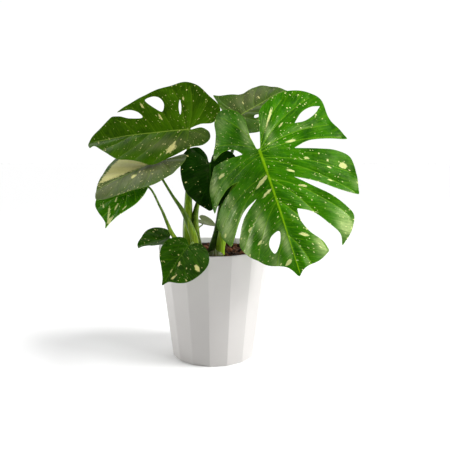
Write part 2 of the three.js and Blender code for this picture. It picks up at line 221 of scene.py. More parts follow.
def makePlanter():
    height = rimTop
    bpy.ops.mesh.primitive_cone_add(
        vertices=planter["sides"], radius1=planter["baseRadius"], radius2=planter["rimRadius"], depth=height,
        location=(0, 0, height / 2), rotation=(0, 0, planter["turn"]),
    )
    pot = bpy.context.active_object
    pot.name = "facetedPlanter"
    applyPlace(pot)
    bpy.ops.object.mode_set(mode="EDIT")
    bpy.ops.mesh.select_mode(type="FACE")
    bpy.ops.object.mode_set(mode="OBJECT")
    selectFaces(pot, lambda face: face.normal.z > 0.9)
    bpy.ops.object.mode_set(mode="EDIT")
    bpy.ops.mesh.inset(thickness=planter["wall"])
    inner = planter["rimRadius"] - planter["wall"]
    foot = planter["baseRadius"] + (planter["rimRadius"] - planter["baseRadius"]) * planter["floor"] / height
    shrink = (foot - planter["wall"]) / inner
    bpy.ops.mesh.extrude_region_move(TRANSFORM_OT_translate={"value": (0, 0, planter["floor"] - height)})
    bpy.ops.transform.resize(value=(shrink, shrink, 1), center_override=(0, 0, 0))
    bpy.ops.object.mode_set(mode="OBJECT")
    soften = pot.modifiers.new("edges", "BEVEL")
    soften.width = planter["edge"]
    soften.segments = planter["edgeCuts"]
    soften.limit_method = "ANGLE"
    soften.angle_limit = math.radians(15)
    applyModifiers(pot)
    activate(pot)
    bpy.ops.object.shade_smooth_by_angle(angle=math.radians(12))
    pot.data.materials.clear()
    pot.data.materials.append(satinPlanter("satin_planter", planter["outsideShaded"], planter["outsideLit"]))
    pot.data.materials.append(satinPlanter("inside_painted_light", planter["insideShaded"], planter["insideLit"]))
    for face in pot.data.polygons:   # the walls that face the soil are brighter than the outside: painted light, a whiter copy of the finish that lifts them out of the leaves' shade
        inward = face.normal.x * face.center.x + face.normal.y * face.center.y < 0
        face.material_index = 1 if inward and abs(face.normal.z) < 0.9 else 0
    settle(pot, "glazed_planter", "planter")


makePlanter()
print("planter made")


def blackPlastic():
    shade = Shader("nursery_plastic")
    where = shade.place()
    shade.colour(shade.mix(shade.noise(where, 60), (0.012, 0.012, 0.012, 1), (0.03, 0.028, 0.026, 1)))
    shade.gloss(shade.ramp(shade.noise(where, 120), 0.3, 0.7, 0.4, 0.6))
    shade.bump(shade.noise(where, 500), 0.1, 0.0004)
    return shade.material


def dampSoil():
    shade = Shader("damp_soil")
    where = shade.place()
    coarse = shade.noise(where, 220, 6, 0.7)
    warm = shade.noise(where, 45, 3)
    dark = shade.mix(shade.ramp(coarse, 0.35, 0.7), (0.005, 0.0022, 0.001, 1), (0.04, 0.018, 0.008, 1))
    tone = shade.attribute("tone")
    brown = shade.mix(shade.ramp(warm, 0.4, 0.7, 0.0, 0.5), dark, (0.07, 0.028, 0.011, 1))
    reddish = shade.mix(shade.ramp(tone, 0.6, 0.95), brown, (0.14, 0.052, 0.02, 1))
    shade.colour(shade.mix(shade.ramp(tone, 0.982, 0.988), reddish, (0.6, 0.56, 0.48, 1)))
    shade.gloss(0.88, shine=0.2)
    shade.bump(coarse, 0.8, 0.0014)
    return shade.material


def reddishBark():
    shade = Shader("reddish_bark")
    where = shade.place()
    grain = shade.noise(shade.stretch(where, (1, 3, 6)), 260, 5, 0.65)
    shade.colour(shade.mix(shade.ramp(grain, 0.3, 0.75), (0.022, 0.008, 0.0035, 1), (0.2, 0.072, 0.026, 1)))
    shade.gloss(0.8, shine=0.2)
    shade.bump(grain, 0.7, 0.0009)
    return shade.material


crumbs = dict(count=4200, quickShare=3, spread=0.0715, small=0.0009, large=0.0036, sink=0.3)


def scatterCrumbs(material):
    count = crumbs["count"] // 1
    bpy.ops.mesh.primitive_ico_sphere_add(subdivisions=1, radius=1)
    pattern = bpy.context.active_object
    body = np.array([tuple(point.co) for point in pattern.data.vertices])
    bodyFaces = np.array([tuple(face.vertices) for face in pattern.data.polygons])
    bpy.data.objects.remove(pattern)
    points, faces, tones = [], [], []
    for i in range(count):
        size = crumbs["small"] + (crumbs["large"] - crumbs["small"]) * dice.random() ** 3
        reach = crumbs["spread"] * math.sqrt(dice.random())
        angle = dice.random() * 2 * math.pi
        shape = body * (1 + 0.35 * (dice.random((len(body), 1)) - 0.5)) * size * (0.35 + 1.3 * dice.random(3) ** 1.5)
        turn = np.array(Euler(tuple(dice.random(3) * 6.28)).to_matrix())
        shape = shape @ turn.T
        rest = soilTop - shape[:, 2].min() - crumbs["sink"] * size
        centre = np.array([reach * math.cos(angle), reach * math.sin(angle), rest])
        points.append(shape + centre)
        faces.append(bodyFaces + len(body) * i)
        tones += [dice.random()] * len(body)
    piece = meshPiece("soilCrumbs", np.concatenate(points), np.concatenate(faces), [material])
    piece.data.attributes.new("tone", "FLOAT", "POINT").data.foreach_set("value", tones)
    settle(piece, "potting_soil")


bark = dict(count=8, fill=0.92, cuts=4, roughness=1.1, ripple=0.12, edge=0.0003)


def makeBark(material):
    for i in range(1, bark["count"] + 1):
        node = f"bark_chip_{i}"
        low, high = (Vector(corner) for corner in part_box(node))
        size, middle = high - low, (low + high) / 2
        bpy.ops.mesh.primitive_cube_add(size=1, location=middle, scale=size * bark["fill"])
        chip = bpy.context.active_object
        chip.name = f"barkChip{i}"
        applyPlace(chip)
        bpy.ops.object.mode_set(mode="EDIT")
        bpy.ops.mesh.select_all(action="SELECT")
        bpy.ops.mesh.subdivide(number_cuts=bark["cuts"], fractal=bark["roughness"], seed=i)
        bpy.ops.object.mode_set(mode="OBJECT")
        for point in chip.data.vertices:
            point.co.x += bark["ripple"] * size.x * math.sin(point.co.y * 900 + i)
            point.co.y += bark["ripple"] * size.y * math.sin(point.co.x * 700 + 2 * i)
            corner = max(abs(point.co.x - middle.x) / size.x, abs(point.co.y - middle.y) / size.y)
            point.co.z = middle.z + (point.co.z - middle.z) * (1.15 - 0.8 * corner)
        soften = chip.modifiers.new("edges", "BEVEL")
        soften.width = bark["edge"]
        soften.segments = 1
        applyModifiers(chip)
        chip.data.materials.clear()
        chip.data.materials.append(material)
        settle(chip, "bark", node)


def finishPotting():
    bpy.data.objects["nursery_pot"].data.materials.clear()
    bpy.data.objects["nursery_pot"].data.materials.append(blackPlastic())
    soilMaterial = dampSoil()
    bpy.data.objects["soil"].data.materials.clear()
    bpy.data.objects["soil"].data.materials.append(soilMaterial)
    scatterCrumbs(soilMaterial)
    makeBark(reddishBark())


finishPotting()
print("soil and bark made")


def smoothRun(points, spacing, closed=False):   # centripetal, evenly spaced
    p = np.array(points, float)
    if closed:
        p = np.vstack([p[-1], p, p[0], p[1]])
    else:
        p = np.vstack([2 * p[0] - p[1], p, 2 * p[-1] - p[-2]])
    out = []
    for i in range(1, len(p) - 2):
        a, b, c, d = p[i - 1], p[i], p[i + 1], p[i + 2]
        ta, tb, tc = (max(1e-4, np.linalg.norm(y - x)) ** 0.5 for x, y in ((a, b), (b, c), (c, d)))
        slopeB = ((b - a) / ta - (c - a) / (ta + tb) + (c - b) / tb) * tb
        slopeC = ((c - b) / tb - (d - b) / (tb + tc) + (d - c) / tc) * tb
        t = np.linspace(0, 1, 24, endpoint=False)[:, None]
        out.append(
            (2 * t**3 - 3 * t**2 + 1) * b + (t**3 - 2 * t**2 + t) * slopeB
            + (-2 * t**3 + 3 * t**2) * c + (t**3 - t**2) * slopeC
        )
    dense = np.vstack(out + [p[-2][None]])
    lengths = np.concatenate([[0], np.cumsum(np.linalg.norm(np.diff(dense, axis=0), axis=1))])
    steps = max(2, round(lengths[-1] / spacing))
    at = np.linspace(0, lengths[-1], steps + 1)
    return np.stack([np.interp(at, lengths, dense[:, k]) for k in range(dense.shape[1])], 1)


def smoothLoop(marks, spacing):
    sharp = [i for i, mark in enumerate(marks) if len(mark) > 2]
    if not sharp:
        return smoothRun([m[:2] for m in marks], spacing, closed=True)[:-1]
    ring = marks[sharp[0]:] + marks[:sharp[0] + 1]
    loop, run = [], []
    for mark in ring:
        run.append(mark[:2])
        if len(mark) > 2 and len(run) > 1:
            loop.append(smoothRun(run, spacing)[:-1])
            run = [mark[:2]]
    return np.vstack(loop)


def roundCorners(loop, times=2):
    for _ in range(times):
        loop = 0.25 * np.roll(loop, 1, 0) + 0.5 * loop + 0.25 * np.roll(loop, -1, 0)
    return loop


def insideLoop(points, loop):
    hits = np.zeros(len(points), int)
    for a, b in zip(loop, np.roll(loop, -1, 0)):
        crosses = (a[1] > points[:, 1]) != (b[1] > points[:, 1])
        if crosses.any():
            along = a[0] + (points[:, 1] - a[1]) * (b[0] - a[0]) / (b[1] - a[1] + 1e-12)
            hits += crosses & (points[:, 0] < along)
    return hits % 2 == 1


def distanceToLine(points, line):
    best = np.full(len(points), 1e9)
    for a, b in zip(line[:-1], line[1:]):
        span = b - a
        share = np.clip(((points - a) @ span) / (span @ span + 1e-12), 0, 1)
        best = np.minimum(best, np.linalg.norm(points - a - share[:, None] * span, axis=1))
    return best


def arcAlong(length, start, bend):
    bend = np.where(np.abs(bend) < 1e-7, 1e-7, bend)
    end = start - bend * length
    return (np.sin(start) - np.sin(end)) / bend, (np.cos(end) - np.cos(start)) / bend


def holdPoints(leaf, u, v):
    droop = np.where(u >= 0, leaf["droop"], 0.5) / 1000
    along, up = arcAlong(u, 0.0, droop)
    left = v >= 0
    fold = np.radians(np.where(left, leaf["fold"][0], leaf["fold"][1]))
    curl = np.where(left, leaf["curl"][0], leaf["curl"][1]) / 1000
    across, rise = arcAlong(np.abs(v), fold, curl)
    rise = rise * np.abs(v) / (np.abs(v) + 3.0)   # the fold is rounded along the midrib
    pitch = -droop * u
    local = np.stack([along - rise * np.sin(pitch), np.where(left, across, -across), up + rise * np.cos(pitch)], 1)
    heading, dip, roll = (math.radians(angle) for angle in leaf["turn"])
    turn = np.array(Euler((roll, dip, heading), "XYZ").to_matrix())
    return local @ turn.T + np.array(leaf["base"]) / mm


def holdLeaf(leaf, u, v, lift=0.0):
    ahead = holdPoints(leaf, u + 1, v) - holdPoints(leaf, u - 1, v)
    aside = holdPoints(leaf, u, v + 1) - holdPoints(leaf, u, v - 1)
    normal = np.cross(ahead, aside)
    normal /= np.linalg.norm(normal, axis=1)[:, None]
    return (holdPoints(leaf, u, v) + normal * np.reshape(lift, (-1, 1))) * mm


def above(x, y, height):
    return (x * mm, y * mm, soilTop + height * mm)


def overRim(x, out, height):
    return (x * mm, -(rimReach + out * mm), rimTop + height * mm)


# Three sizes of fleck: cells to a millimetre, how far it is drawn out along the side veins, and its largest reach
flecks = dict(tiny=(0.36, 0.75, 0.3), fine=(0.19, 0.6, 0.23), big=(0.075, 0.35, 0.11))
fleckWobble = 0.8
glossTint = (1.0, 1.0, 0.45, 1)


def leafSkin(name, look):
    shade = Shader(name)
    flat = shade.attribute("flat", "Vector")
    flow = shade.attribute("flow", "Vector")
    drift = shade.noise(flat, 0.035, 3)
    streak = shade.noise(shade.stretch(flow, (1, 0.09, 1)), 0.55, 4, 0.6)
    green = shade.mix(shade.ramp(drift, 0.35, 0.65), look["deep"], look["fresh"])
    green = shade.mix(shade.ramp(streak, 0.42, 0.72, 0.0, 0.7), green, look["light"])
    # the sheen share paints a highlight into the base colour: a paler colour at fixed places on the blade, not a
    # reflection
    paintedSheenShare = shade.math("MULTIPLY", shade.attribute("paintedSheen"), shade.ramp(streak, 0.3, 0.62, 0.55, 1.0))
    green = shade.mix(shade.math("MULTIPLY", paintedSheenShare, 0.9), green, look["paintedSheen"])
    veinShare = shade.ramp(shade.attribute("veinDist"), 0.2, 1.15, look["vein"], 0.0)
    green = shade.mix(veinShare, green, look["veinColour"])
    wobble = shade.add("TexNoise")
    wobble.inputs["Scale"].default_value = 0.45
    wobble.inputs["Detail"].default_value = 3
    shade.join(flat, wobble.inputs["Vector"])
    share = 0.0
    for kind, (scale, stretch, reach) in flecks.items():
        moved = shade.add("VectorMath", operation="MULTIPLY_ADD")
        shade.join(wobble.outputs["Color"], moved.inputs[0])
        moved.inputs[1].default_value = (fleckWobble / scale,) * 3
        shade.join(shade.stretch(flow, (1, stretch, 1)), moved.inputs[2])
        distance, pick, size = shade.cells(moved.outputs[0], scale)
        edge = shade.math("MULTIPLY", shade.math("MULTIPLY", size, size), reach)
        fleck = shade.ramp(shade.math("SUBTRACT", edge, distance), -0.03, 0.03)
        fleck = shade.math("MULTIPLY", fleck, shade.math("GREATER_THAN", pick, look[kind]))
        share = shade.math("MAXIMUM", fleck, share)
    fineRag = shade.noise(shade.stretch(flow, (1, 0.22, 1)), 0.75, 5, 0.75)
    broadRag = shade.noise(shade.stretch(flow, (1, 0.4, 1)), 0.16, 3, 0.6)
    ragged = shade.math("ADD", shade.math("MULTIPLY", fineRag, 0.6), shade.math("MULTIPLY", broadRag, 0.4))
    ragged = shade.math("MULTIPLY", shade.math("SUBTRACT", ragged, 0.5), 2.3)
    patch = shade.math("ADD", shade.attribute("cream"), ragged)
    patch = shade.ramp(patch, 0.5, 0.72)
    share = shade.math("MAXIMUM", share, patch)
    creamTone = shade.mix(shade.noise(flat, 0.3, 3), look["cream"], look["creamDeep"])
    skin = shade.mix(shade.math("MULTIPLY", share, 0.88), green, creamTone)
    midrib = shade.attribute("midrib")
    skin = shade.mix(shade.ramp(midrib, 0.4, 0.85, 0.0, look["ribShare"]), skin, look["midrib"])
    shade.colour(skin)
    roughness = shade.ramp(shade.noise(flat, 0.12, 3), 0.3, 0.7, look["gloss"], look["gloss"] + 0.12)
    shade.gloss(roughness, look["shine"], glossTint)
    fineVeins = shade.noise(shade.stretch(flow, (1, 0.12, 1)), 0.28, 2)
    pores = shade.noise(flat, 1.4, 2)
    shade.bump(shade.math("ADD", fineVeins, shade.math("MULTIPLY", pores, 0.03)), 0.3, 0.0011)
    return shade.material


def leafBack(name, tone):
    shade = Shader(name)
    flat = shade.attribute("flat", "Vector")
    green = shade.mix(shade.noise(flat, 0.05, 3), tone, tuple(0.7 * c for c in tone[:3]) + (1,))
    veinShare = shade.ramp(shade.attribute("veinDist"), 0.2, 1.3, 0.6, 0.0)
    green = shade.mix(veinShare, green, (0.22, 0.36, 0.1, 1))
    patch = shade.ramp(shade.attribute("cream"), 0.45, 0.6, 0.0, 0.7)
    green = shade.mix(patch, green, (0.5, 0.5, 0.26, 1))
    shade.colour(shade.mix(shade.ramp(shade.attribute("midrib"), 0.3, 0.8), green, (0.28, 0.42, 0.1, 1)))
    shade.gloss(0.55)
    shade.bump(shade.noise(flat, 0.8, 3), 0.2, 0.0006)
    return shade.material


# cream is the leaves' own pale marking; sheen is the colour of a painted highlight and of painted grey reflection
creamAndPaintedSheen = dict(cream=(0.74, 0.69, 0.31, 1), creamDeep=(0.55, 0.54, 0.16, 1), paintedSheen=(0.12, 0.13, 0.05, 1))
# deep to light are the greens; tiny, fine and big are the shares of cells that carry no fleck of that size
looks = {
    "fresh": dict(
        creamAndPaintedSheen, deep=(0.015, 0.1, 0.0006, 1), fresh=(0.031, 0.175, 0.0006, 1), light=(0.09, 0.28, 0.002, 1),
        cream=(0.86, 0.87, 0.42, 1), creamDeep=(0.68, 0.76, 0.22, 1), paintedSheen=(0.42, 0.58, 0.2, 1),
        vein=0.75, veinColour=(0.16, 0.38, 0.01, 1), midrib=(0.2, 0.42, 0.004, 1), ribShare=0.95,
        tiny=0.4, fine=0.38, big=0.6, gloss=0.2, shine=0.22,
    ),
    "mature": dict(
        creamAndPaintedSheen, deep=(0.017, 0.058, 0.0003, 1), fresh=(0.036, 0.108, 0.0006, 1), light=(0.065, 0.15, 0.002, 1),
        vein=0.5, veinColour=(0.11, 0.21, 0.008, 1), midrib=(0.18, 0.28, 0.03, 1), ribShare=0.9,
        tiny=0.4, fine=0.65, big=0.85, gloss=0.32, shine=0.1,
    ),
    "young": dict(
        creamAndPaintedSheen, deep=(0.007, 0.036, 0.0004, 1), fresh=(0.015, 0.07, 0.0008, 1), light=(0.045, 0.13, 0.002, 1),
        vein=0.35, veinColour=(0.05, 0.15, 0.004, 1), midrib=(0.07, 0.18, 0.006, 1), ribShare=0.5,
        tiny=0.45, fine=0.45, big=0.85, gloss=0.26, shine=0.14,
    ),
    # painted shade: the centre leaf, which hangs in shade under the others, gets a far darker green
    "dark": dict(
        creamAndPaintedSheen, deep=(0.002, 0.014, 0.0004, 1), fresh=(0.004, 0.026, 0.0006, 1), light=(0.01, 0.048, 0.001, 1),
        vein=0.3, veinColour=(0.02, 0.08, 0.004, 1), midrib=(0.03, 0.11, 0.006, 1), ribShare=0.6,
        tiny=0.85, fine=0.9, big=0.97, gloss=0.22, shine=0.06,
    ),
    # painted reflection: a grey-olive green standing for the grey shine of a leaf seen at a grazing angle
    "paintedGreySheen": dict(
        creamAndPaintedSheen, deep=(0.07, 0.09, 0.035, 1), fresh=(0.11, 0.135, 0.06, 1), light=(0.16, 0.18, 0.09, 1),
        vein=0.4, veinColour=(0.1, 0.16, 0.03, 1), midrib=(0.1, 0.16, 0.03, 1), ribShare=0.6,
        tiny=0.85, fine=0.9, big=0.97, gloss=0.4, shine=0.2,
    ),
}
skins = {kind: leafSkin(f"{kind}_leaf", look) for kind, look in looks.items()}
backs = {
    "fresh": leafBack("fresh_underside", (0.09, 0.22, 0.035, 1)),
    "mature": leafBack("mature_underside", (0.08, 0.17, 0.03, 1)),
    "young": leafBack("young_underside", (0.08, 0.19, 0.03, 1)),
    # the centre leaf's darker underside is painted shade as well
    "dark": leafBack("dark_underside", (0.04, 0.1, 0.02, 1)),
    "paintedGreySheen": leafBack("silvery_underside", (0.1, 0.13, 0.05, 1)),
}

# Outlines are flat, in millimetres: along the midrib, then to its left. A third value marks a sharp corner.
# Veins run from a place on the midrib to a point near the margin. Patches are (along, left, length, width), and
# a fifth number turns one away from the side veins. Sheen is a painted highlight, a paler colour set into the
# base colour: (along, left, length, width, share).
leaves = {
    "frontRight": dict(
        node="leaf_front_right", look="fresh", base=above(63, -70, 153), turn=(-58, 58, 30), droop=1.5,
        fold=(-4, -22), curl=(1.5, 7), rib=(2.6, 0.7), ribEnd=172,
        outline=[
            (-3, 2, 1), (-30, 10), (-58, 18), (-72, 34), (-82, 60), (-78, 90), (-61, 110), (-28, 112), (-6, 120),
            (10, 126, 1), (3, 92), (1, 70), (8, 46, 1), (17, 80), (24, 102), (36, 118), (50, 120), (70, 117),
            (93, 111, 1), (82, 90), (62, 60), (48, 31, 1), (66, 52), (84, 73), (104, 88), (118, 94), (134, 86),
            (153, 65, 1), (138, 67), (120, 57), (100, 42), (90, 22, 1), (108, 22), (124, 29), (140, 42),
            (154, 46, 1), (162, 30), (166, 8), (175, -2, 1), (160, -12), (150, -38), (134, -58), (116, -73),
            (96, -66), (80, -54), (61, -24, 1), (69, -48), (82, -66), (96, -80), (108, -93, 1), (88, -106),
            (66, -112), (53, -100), (38.5, -72), (28, -40, 1), (25.5, -60), (32, -84), (45, -113, 1), (27, -109),
            (4, -97), (-16, -76, 1), (-13, -54), (-5, -23, 1), (-19, -34), (-25, -50), (-23, -72, 1), (-36, -66),
            (-56, -54), (-76, -49), (-85, -36), (-76, -18), (-56, -5), (-28, -6), (-3, -3, 1),
        ],
        holes=[
            [(-49, 106, 1), (-50, 92), (-44, 76), (-28, 59, 1), (-29, 74), (-37, 92)],
            [(112, -9), (116, -22), (126, -28), (138, -24), (124, -12)],
        ],
        veins=[
            (0, -70, 55), (0, -66, 96), (0, -18, 108), (3, 6, 118), (12, 60, 112), (14, 88, 106), (40, 118, 88),
            (40, 150, 64), (72, 151, 44), (120, 164, 18), (0, -76, -38), (0, -40, -60), (4, 24, -104), (8, 46, -108),
            (34, 78, -104), (36, 104, -90), (66, 118, -68), (74, 140, -50), (118, 154, -26),
        ],
        patches=[
            (-4, 46, 8, 3), (26, 58, 4, 1.8), (39, 30, 6, 2), (42, -10, 13, 4), (63, 40, 6, 1.6), (125, 20, 7, 3),
            (4, -68, 8, 2.6), (154, -10, 6, 3), (-45, 28, 22, 2.4), (-8, 18, 14, 1.4), (-30, 40, 6, 1.6),
            (60, -10, 10, 2.2), (64, 79, 5, 2), (96, -49, 5, 2.4), (30, -62, 12, 2), (88, -96, 5, 3),
            (130, -20, 8, 2), (48, 104, 6, 2.4), (46, 84, 4, 2), (20, 110, 6, 1.2), (118, -40, 5, 2),
            (-20, -5, 12, 1.6),
        ],
        paintedSheen=[
            (8, -92, 34, 12, 0.9), (78, -90, 24, 17, 0.85), (98, -30, 24, 7, 0.85), (128, -6, 17, 5, 0.85),
            (-34, -10, 24, 6, 0.75), (148, 40, 20, 11, 0.6), (130, 77, 20, 14, 0.55), (-24, 20, 22, 6, 0.5),
            (116, -64, 22, 8, 0.6), (40, -66, 34, 7, 0.5), (-66, -40, 16, 14, 0.4), (150, -26, 16, 7, 0.5),
        ],
    ),
    "topLeft": dict(
        node="leaf_top_left", look="mature", relief=0.55, base=above(-36, -5, 184), turn=(179.8, 3, -50), droop=1.5,
        fold=(2, 24), curl=(3, 3), rib=(1.7, 0.5), ribEnd=144,
        outline=[
            (-3, 0, 1), (-20, -3), (-30, 6), (-31, 20), (-20, 31), (-4, 33), (26, 49), (52, 58), (78, 47), (104, 40),
            (130, 18), (143, 8), (148, 12, 1), (152, 2), (146, -8), (132, -19), (112, -35, 1), (100, -33),
            (86, -27), (66, -26), (72, -35), (84, -41), (105, -40, 1), (88, -50), (68, -59), (46, -68), (24, -74),
            (2, -79), (-14, -73), (-30, -55), (-47, -34), (-46, -22), (-36, -10), (-20, -9), (-3, -3, 1),
        ],
        holes=[
            [(62, -54), (50, -58), (40, -54), (34, -43), (37, -32), (46, -37)],
            [(11, -50), (13, -37), (11, -24), (9, -37)],
        ],
        veins=[
            (0, -24, 14), (0, 6, 30), (8, 50, 54), (30, 76, 44), (56, 102, 38), (84, 126, 18), (0, -38, -20),
            (0, -30, -48), (0, -4, -72), (4, 22, -68), (22, 60, -56), (48, 84, -46), (76, 108, -30),
        ],
        patches=[(24, 34, 11, 6), (40, -24, 8, 1.8), (66, -44, 6, 2), (6, -50, 4, 1.6), (20, 24, 6, 2)],
        paintedSheen=[(30, 24, 46, 12, 0.8), (-14, 12, 20, 14, 0.5)],
    ),
    "middleLeft": dict(
        node="leaf_middle_left", look="mature", relief=0.6, base=above(-79, -21, 138), turn=(-164, 18, -27), droop=3,
        fold=(4, 4), curl=(3, 3), rib=(1.5, 0.5), ribEnd=96,
        outline=[
            (-3, 1, 1), (-22, 0), (-40, 2), (-36, 20), (-14, 40), (10, 50), (28, 52), (46, 47), (64, 42), (90, 31),
            (101, 20, 1), (97, 2), (90, -12), (74, -35), (53, -54), (28, -60), (0, -55), (-24, -40), (-34, -22),
            (-24, -8), (-3, -3, 1),
        ],
        veins=[
            (0, -32, 12), (0, -8, 38), (10, 34, 46), (30, 62, 38), (54, 86, 28), (0, -24, -30), (4, 22, -54),
            (20, 58, -46), (44, 78, -28),
        ],
        patches=[(40, 15, 6, 5), (30, 10, 3, 2)],
        paintedSheen=[(20, 14, 70, 30, 1.0), (80, 10, 30, 30, 0.9), (-20, -20, 24, 24, 0.6)],
        cream=[(13, 1), (12, -14), (30, -34), (48, -48), (62, -38), (76, -24), (88, -10), (74, -7), (40, -3)],
    ),
    "lowerLeft": dict(
        node="leaf_lower_left", look="fresh", ribless=1, base=above(-114, -31, 103), turn=(-134, 44, -15), droop=3,
        fold=(5, 5), curl=(3, 3), rib=(1.3, 0.4), ribEnd=64,
        outline=[
            (-3, 1, 1), (-14, 6), (-14, 18), (-4, 27), (12, 29), (30, 24), (46, 12), (57, 6), (64, 3), (73, 1, 1),
            (65, -4), (61, -11), (55, -24), (46, -38), (30, -43), (8, -40), (-10, -30), (-16, -16), (-12, -5),
            (-3, -2, 1),
        ],
        veins=[(0, -8, 20), (2, 22, 24), (14, 42, 12), (0, -8, -26), (2, 26, -38), (14, 48, -30), (30, 58, -14)],
        patches=[
            (57, 2, 10, 2.2, 4), (49, -9, 11, 2, 28), (38, -3, 8, 1.6, 8), (43, -24, 6, 1.6, 50),
            (28, -10, 5, 1.6, 20), (54, -5, 8, 1.6, 16), (36, 12, 5, 1.4, -25), (60, -1, 7, 2, 0),
        ],
    ),
    "centre": dict(
        node="leaf_centre", slot="dark_leaf", look="dark", base=above(-5, -3, 134), turn=(-86, 68, -8), droop=3,
        fold=(8, 8), curl=(3, 3), rib=(1.4, 0.4), ribEnd=66,
        outline=[
            (-3, 1, 1), (-14, 4), (-24, 14), (-21, 30), (-8, 41), (10, 44), (28, 41), (45, 33), (60, 15),
            (70, 0, 1), (60, -18), (45, -35), (28, -42), (10, -44), (-8, -42), (-21, -32), (-25, -17), (-14, -5),
            (-3, -2, 1),
        ],
        veins=[
            (0, -18, 22), (0, 14, 40), (12, 42, 32), (30, 58, 14), (0, -18, -22), (0, 14, -40), (12, 42, -32),
            (30, 58, -14),
        ],
        patches=[(30, -36, 3, 1.4), (-10, -34, 3, 1.2)],
    ),
    "smallLeft": dict(
        node="leaf_small_left", look="young", base=above(-65, -26, 28), turn=(-162, 10, -32), droop=3,
        fold=(18, 6), curl=(3, 3), rib=(1.1, 0.4), ribEnd=40,
        outline=[
            (-2, 1, 1), (-7, 6), (1, 13), (12, 14), (22, 11), (32, 5), (40, 2), (46, 4, 1), (45, -5), (37, -15),
            (25, -26), (10, -26), (-2, -18), (-6, -8), (-2, -1, 1),
        ],
        veins=[(0, 10, 12), (6, 26, 8), (0, 4, -20), (4, 24, -22), (14, 36, -12)],
        patches=[(14, -22, 3, 1)],
    ),
    "overRim": dict(
        node="leaf_over_rim", look="young", base=overRim(-31, 3, 16), turn=(-129, 37, -17), droop=4, fold=(8, 8),
        curl=(3, 3), rib=(1.3, 0.4), ribEnd=62,
        outline=[
            (-1, 1, 1), (-7, 8), (-6, 20), (2, 33), (18, 43), (34, 41), (48, 33), (55, 20), (58, 5), (66, -1, 1),
            (57, -5), (44, -15), (30, -27), (18, -31), (4, -30), (-6, -19), (-7, -8), (-1, -1, 1),
        ],
        veins=[(0, 4, 30), (4, 30, 38), (16, 50, 26), (32, 58, 10), (0, 2, -26), (4, 28, -26), (16, 44, -14)],
        patches=[(28, 32, 6, 3.6), (31, 5, 5, 1.8, 20), (49, 9, 6, 2, -28), (43, 0, 4, 1.4, 5)],
    ),
    "smallBack": dict(
        node="leaf_small_back", slot="dark_leaf", look="paintedGreySheen", base=above(-19, 27, 48), turn=(-16, 18, 18),
        droop=3, fold=(8, 8), curl=(3, 3), rib=(1.0, 0.4), ribEnd=24,
        outline=[
            (-1, 1, 1), (-7, 5), (-6, 11), (2, 13), (12, 10), (27, 0, 1), (12, -11), (2, -13), (-6, -11), (-7, -5),
            (-1, -1, 1),
        ],
        veins=[(0, 6, 10), (6, 18, 6), (0, 6, -10), (6, 18, -6)],
        patches=[],
    ),
    "topBack": dict(
        node="leaf_top_back", slot="dark_leaf", look="mature", base=above(41, 70, 210), turn=(38, -29.5, 28),
        droop=1.5, fold=(6, 6), curl=(2, 2), rib=(1.8, 0.5), ribEnd=116,
        outline=[
            (-3, 2, 1), (-14, 10), (-10, 28), (0, 48), (12, 72, 1), (22, 60), (40, 40, 1), (56, 37), (78, 40),
            (94, 35), (108, 18), (120, 0, 1), (112, -16), (96, -34), (78, -46, 1), (66, -34), (54, -40), (60, -56, 1),
            (36, -60), (6, -58), (-24, -50), (-33, -30), (-22, -12), (-3, -3, 1),
        ],
        holes=[[(8, -24), (14, -20), (21, -25), (14, -28)]],
        veins=[
            (0, 2, 44), (4, 14, 62), (14, 50, 36), (36, 84, 36), (64, 102, 20), (0, -22, -36), (0, 14, -52),
            (16, 52, -48), (44, 78, -40), (70, 104, -20),
        ],
        patches=[(60, 12, 5, 1.6), (30, 20, 4, 1.4)],
        paintedSheen=[(50, 24, 60, 20, 0.9), (20, 0, 50, 16, 0.6)],
    ),
}
blade = dict(
    thickness=0.7, spacing=1.55, puff=1.5, puffReach=7, groove=0.6, grooveWidth=1.1,
    rib=0.55, trough=0.5, troughWidth=4.5, wave=0.9, fullSize=90, patternStep=300.0,
)
veinSlope = 0.5   # side veins run forward by this much of their way out
fanWidth = 60     # behind the stalk they fan out, this many millimetres to a radian


def flowPlace(u, v):   # distance across the side veins, then along them
    foot = u - veinSlope * np.abs(v)
    angle = np.arctan2(np.abs(v), u + 1e-9)
    limit = math.atan2(1, veinSlope)
    across = np.where(foot >= 0, foot, -(angle - limit) * fanWidth)
    along = np.where(foot >= 0, np.abs(v) * math.hypot(1, veinSlope), np.hypot(u, v))
    return across, along


def veinLine(start, endU, endV, bow=0.12):
    a, b = np.array([start, 0.0]), np.array([endU, endV], float)
    side = np.array([-(b - a)[1], (b - a)[0]])
    if side[0] > 0:
        side = -side
    middle = (a + b) / 2 + side * bow
    t = np.linspace(0, 1, 14)[:, None]
    return (1 - t) ** 2 * a + 2 * t * (1 - t) * middle + t**2 * b


